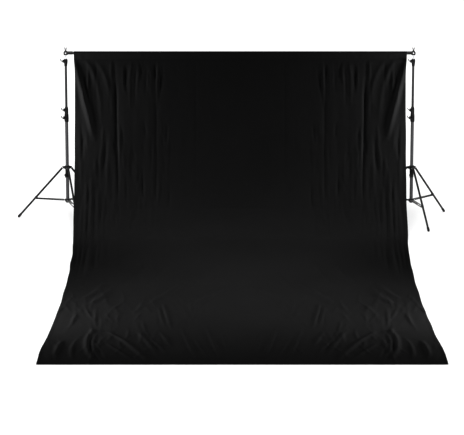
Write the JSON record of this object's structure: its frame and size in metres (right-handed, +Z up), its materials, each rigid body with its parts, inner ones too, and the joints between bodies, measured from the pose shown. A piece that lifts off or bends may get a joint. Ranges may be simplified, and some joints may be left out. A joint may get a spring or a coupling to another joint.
{
  "type": "backdrop stand",
  "caption": "Two telescopic tripod stands carry a plug-together crossbar; a wide black cloth hangs from it in a rod pocket and sweeps forward over the floor.",
  "frame": {"origin": "on the floor under the crossbar, halfway between the two posts", "axes": "+X along the crossbar, -Y the side the cloth sweeps to, +Z up"},
  "size_m": [3.8887, 4.9951, 1.5793],
  "materials": {
    "tube_grey": "dark grey satin powder coat on aluminium tube",
    "leg_black": "black satin powder coat on aluminium tube",
    "brace_black": "black paint on pressed steel",
    "bar_black": "black satin powder coat on aluminium tube",
    "moulded_black": "moulded black nylon, fine texture",
    "nut_black": "black coated cast wing nut",
    "plated": "bright plated steel",
    "rubber_black": "matt black rubber",
    "cloth_black": "matt black woven muslin"
  },
  "bodies": {
    "root": {"left_base_tube": "tube_grey", "left_base_collar": "moulded_black", "left_brace_hub": "moulded_black", "right_base_tube": "tube_grey", "right_base_collar": "moulded_black", "right_brace_hub": "moulded_black", "brace_hub_pins": "plated", "base_end_caps": "rubber_black", "backdrop_on_floor": "cloth_black"},
    "left_leg_collar": {"left_leg_collar": "moulded_black", "left_leg_pins": "plated"},
    "left_leg_front": {"left_leg_front": "leg_black", "left_foot_front": "rubber_black"},
    "left_brace_front": {"left_brace_front": "brace_black"},
    "left_leg_back": {"left_leg_back": "leg_black", "left_foot_back": "rubber_black"},
    "left_brace_back": {"left_brace_back": "brace_black"},
    "left_leg_side": {"left_leg_side": "leg_black", "left_foot_side": "rubber_black"},
    "left_brace_side": {"left_brace_side": "brace_black"},
    "left_mast_2": {"left_section_2_tube": "tube_grey", "left_section_2_collar": "moulded_black"},
    "left_mast_3": {"left_section_3_tube": "tube_grey", "left_section_3_collar": "moulded_black"},
    "left_mast_4": {"left_section_4_tube": "tube_grey", "left_stud": "plated", "crossbar_section_1": "bar_black", "crossbar_section_2": "bar_black", "crossbar_section_3": "bar_black", "crossbar_section_4": "bar_black", "crossbar_end_fittings": "moulded_black", "crossbar_set_screws": "plated", "backdrop_hanging": "cloth_black"},
    "left_base_knob": {"left_base_knob": "moulded_black"},
    "left_section_2_knob": {"left_section_2_knob": "moulded_black"},
    "left_section_3_knob": {"left_section_3_knob": "moulded_black"},
    "left_leg_collar_knob": {"left_leg_collar_knob": "moulded_black"},
    "left_wing_nut": {"left_wing_nut": "nut_black"},
    "right_leg_collar": {"right_leg_collar": "moulded_black", "right_leg_pins": "plated"},
    "right_leg_front": {"right_leg_front": "leg_black", "right_foot_front": "rubber_black"},
    "right_brace_front": {"right_brace_front": "brace_black"},
    "right_leg_back": {"right_leg_back": "leg_black", "right_foot_back": "rubber_black"},
    "right_brace_back": {"right_brace_back": "brace_black"},
    "right_leg_side": {"right_leg_side": "leg_black", "right_foot_side": "rubber_black"},
    "right_brace_side": {"right_brace_side": "brace_black"},
    "right_mast_2": {"right_section_2_tube": "tube_grey", "right_section_2_collar": "moulded_black"},
    "right_mast_3": {"right_section_3_tube": "tube_grey", "right_section_3_collar": "moulded_black"},
    "right_mast_4": {"right_section_4_tube": "tube_grey", "right_stud": "plated"},
    "right_base_knob": {"right_base_knob": "moulded_black"},
    "right_section_2_knob": {"right_section_2_knob": "moulded_black"},
    "right_section_3_knob": {"right_section_3_knob": "moulded_black"},
    "right_leg_collar_knob": {"right_leg_collar_knob": "moulded_black"},
    "right_wing_nut": {"right_wing_nut": "nut_black"}
  },
  "joints": [
    {"name": "left_leg_fold", "type": "slide", "parent": "root", "child": "left_leg_collar", "axis": [0, 0, 1], "range_m": [0, 0.35143]},
    {"name": "left_leg_front_hinge", "type": "hinge", "parent": "left_leg_collar", "child": "left_leg_front", "pos_m": [-1.53356, -0.04041, 0.485], "axis": [0.9622, 0.2723, 0], "range_deg": [0, 41.76]},
    {"name": "left_brace_front_hinge", "type": "hinge", "parent": "root", "child": "left_brace_front", "pos_m": [-1.53738, -0.02694, 0.186], "axis": [0.9622, 0.2723, 0], "range_deg": [-90.01, 0]},
    {"name": "left_leg_back_hinge", "type": "hinge", "parent": "left_leg_collar", "child": "left_leg_back", "pos_m": [-1.51572, 0.03011, 0.485], "axis": [-0.7169, 0.6972, 0], "range_deg": [0, 41.76]},
    {"name": "left_brace_back_hinge", "type": "hinge", "parent": "root", "child": "left_brace_back", "pos_m": [-1.52548, 0.02007, 0.186], "axis": [-0.7169, 0.6972, 0], "range_deg": [-90.01, 0]},
    {"name": "left_leg_side_hinge", "type": "hinge", "parent": "left_leg_collar", "child": "left_leg_side", "pos_m": [-1.58572, 0.0103, 0.485], "axis": [-0.2453, -0.9694, 0], "range_deg": [0, 41.76]},
    {"name": "left_brace_side_hinge", "type": "hinge", "parent": "root", "child": "left_brace_side", "pos_m": [-1.57214, 0.00687, 0.186], "axis": [-0.2453, -0.9694, 0], "range_deg": [-90.01, 0]},
    {"name": "left_section_2_slide", "type": "slide", "parent": "root", "child": "left_mast_2", "axis": [0, 0, 1], "range_m": [0, 0.58], "deforming": ["backdrop_hanging"]},
    {"name": "left_section_3_slide", "type": "slide", "parent": "left_mast_2", "child": "left_mast_3", "axis": [0, 0, 1], "range_m": [-0.368, 0.17], "deforming": ["backdrop_hanging"]},
    {"name": "left_section_4_slide", "type": "slide", "parent": "left_mast_3", "child": "left_mast_4", "axis": [0, 0, 1], "range_m": [0, 0.56], "deforming": ["backdrop_hanging"]},
    {"name": "left_base_knob_turn", "type": "hinge", "parent": "root", "child": "left_base_knob", "pos_m": [-1.569, 0, 0.938], "axis": [0, -1, 0], "range_deg": [0, 270]},
    {"name": "left_section_2_knob_turn", "type": "hinge", "parent": "left_mast_2", "child": "left_section_2_knob", "pos_m": [-1.5665, 0, 1.009], "axis": [0, -1, 0], "range_deg": [0, 270]},
    {"name": "left_section_3_knob_turn", "type": "hinge", "parent": "left_mast_3", "child": "left_section_3_knob", "pos_m": [-1.567, 0, 1.45], "axis": [0, -1, 0], "range_deg": [0, 270]},
    {"name": "left_leg_collar_knob_turn", "type": "hinge", "parent": "left_leg_collar", "child": "left_leg_collar_knob", "pos_m": [-1.545, 0, 0.417], "axis": [-0.454, -0.891, 0], "range_deg": [0, 270]},
    {"name": "left_wing_nut_turn", "type": "hinge", "parent": "left_mast_4", "child": "left_wing_nut", "pos_m": [-1.545, 0, 1.5423], "axis": [0, 0, 1], "continuous": true},
    {"name": "right_leg_fold", "type": "slide", "parent": "root", "child": "right_leg_collar", "axis": [0, 0, 1], "range_m": [0, 0.35143]},
    {"name": "right_leg_front_hinge", "type": "hinge", "parent": "right_leg_collar", "child": "right_leg_front", "pos_m": [1.55644, -0.04041, 0.485], "axis": [0.9622, 0.2723, 0], "range_deg": [0, 41.76]},
    {"name": "right_brace_front_hinge", "type": "hinge", "parent": "root", "child": "right_brace_front", "pos_m": [1.55262, -0.02694, 0.186], "axis": [0.9622, 0.2723, 0], "range_deg": [-90.01, 0]},
    {"name": "right_leg_back_hinge", "type": "hinge", "parent": "right_leg_collar", "child": "right_leg_back", "pos_m": [1.57428, 0.03011, 0.485], "axis": [-0.7169, 0.6972, 0], "range_deg": [0, 41.76]},
    {"name": "right_brace_back_hinge", "type": "hinge", "parent": "root", "child": "right_brace_back", "pos_m": [1.56452, 0.02007, 0.186], "axis": [-0.7169, 0.6972, 0], "range_deg": [-90.01, 0]},
    {"name": "right_leg_side_hinge", "type": "hinge", "parent": "right_leg_collar", "child": "right_leg_side", "pos_m": [1.50428, 0.0103, 0.485], "axis": [-0.2453, -0.9694, 0], "range_deg": [0, 41.76]},
    {"name": "right_brace_side_hinge", "type": "hinge", "parent": "root", "child": "right_brace_side", "pos_m": [1.51786, 0.00687, 0.186], "axis": [-0.2453, -0.9694, 0], "range_deg": [-90.01, 0]},
    {"name": "right_section_2_slide", "type": "slide", "parent": "root", "child": "right_mast_2", "axis": [0, 0, 1], "range_m": [0, 0.58]},
    {"name": "right_section_3_slide", "type": "slide", "parent": "right_mast_2", "child": "right_mast_3", "axis": [0, 0, 1], "range_m": [-0.368, 0.17]},
    {"name": "right_section_4_slide", "type": "slide", "parent": "right_mast_3", "child": "right_mast_4", "axis": [0, 0, 1], "range_m": [0, 0.56]},
    {"name": "right_base_knob_turn", "type": "hinge", "parent": "root", "child": "right_base_knob", "pos_m": [1.521, 0, 0.938], "axis": [0, -1, 0], "range_deg": [0, 270]},
    {"name": "right_section_2_knob_turn", "type": "hinge", "parent": "right_mast_2", "child": "right_section_2_knob", "pos_m": [1.5235, 0, 1.009], "axis": [0, -1, 0], "range_deg": [0, 270]},
    {"name": "right_section_3_knob_turn", "type": "hinge", "parent": "right_mast_3", "child": "right_section_3_knob", "pos_m": [1.523, 0, 1.45], "axis": [0, -1, 0], "range_deg": [0, 270]},
    {"name": "right_leg_collar_knob_turn", "type": "hinge", "parent": "right_leg_collar", "child": "right_leg_collar_knob", "pos_m": [1.545, 0, 0.417], "axis": [-0.454, -0.891, 0], "range_deg": [0, 270]},
    {"name": "right_wing_nut_turn", "type": "hinge", "parent": "right_mast_4", "child": "right_wing_nut", "pos_m": [1.545, 0, 1.5423], "axis": [0, 0, 1], "continuous": true}
  ],
  "couplings": [
    {"joint": "left_leg_front_hinge", "follows": "left_leg_fold", "rad_per_m": 2.0736},
    {"joint": "left_brace_front_hinge", "follows": "left_leg_fold", "rad_per_m": -4.4698},
    {"joint": "left_leg_back_hinge", "follows": "left_leg_fold", "rad_per_m": 2.0736},
    {"joint": "left_brace_back_hinge", "follows": "left_leg_fold", "rad_per_m": -4.4698},
    {"joint": "left_leg_side_hinge", "follows": "left_leg_fold", "rad_per_m": 2.0736},
    {"joint": "left_brace_side_hinge", "follows": "left_leg_fold", "rad_per_m": -4.4698},
    {"joint": "right_leg_front_hinge", "follows": "right_leg_fold", "rad_per_m": 2.0736},
    {"joint": "right_brace_front_hinge", "follows": "right_leg_fold", "rad_per_m": -4.4698},
    {"joint": "right_leg_back_hinge", "follows": "right_leg_fold", "rad_per_m": 2.0736},
    {"joint": "right_brace_back_hinge", "follows": "right_leg_fold", "rad_per_m": -4.4698},
    {"joint": "right_leg_side_hinge", "follows": "right_leg_fold", "rad_per_m": 2.0736},
    {"joint": "right_brace_side_hinge", "follows": "right_leg_fold", "rad_per_m": -4.4698},
    {"joint": "right_section_2_slide", "follows": "left_section_2_slide", "ratio": 1},
    {"joint": "right_section_3_slide", "follows": "left_section_3_slide", "ratio": 1},
    {"joint": "right_section_4_slide", "follows": "left_section_4_slide", "ratio": 1}
  ]
}
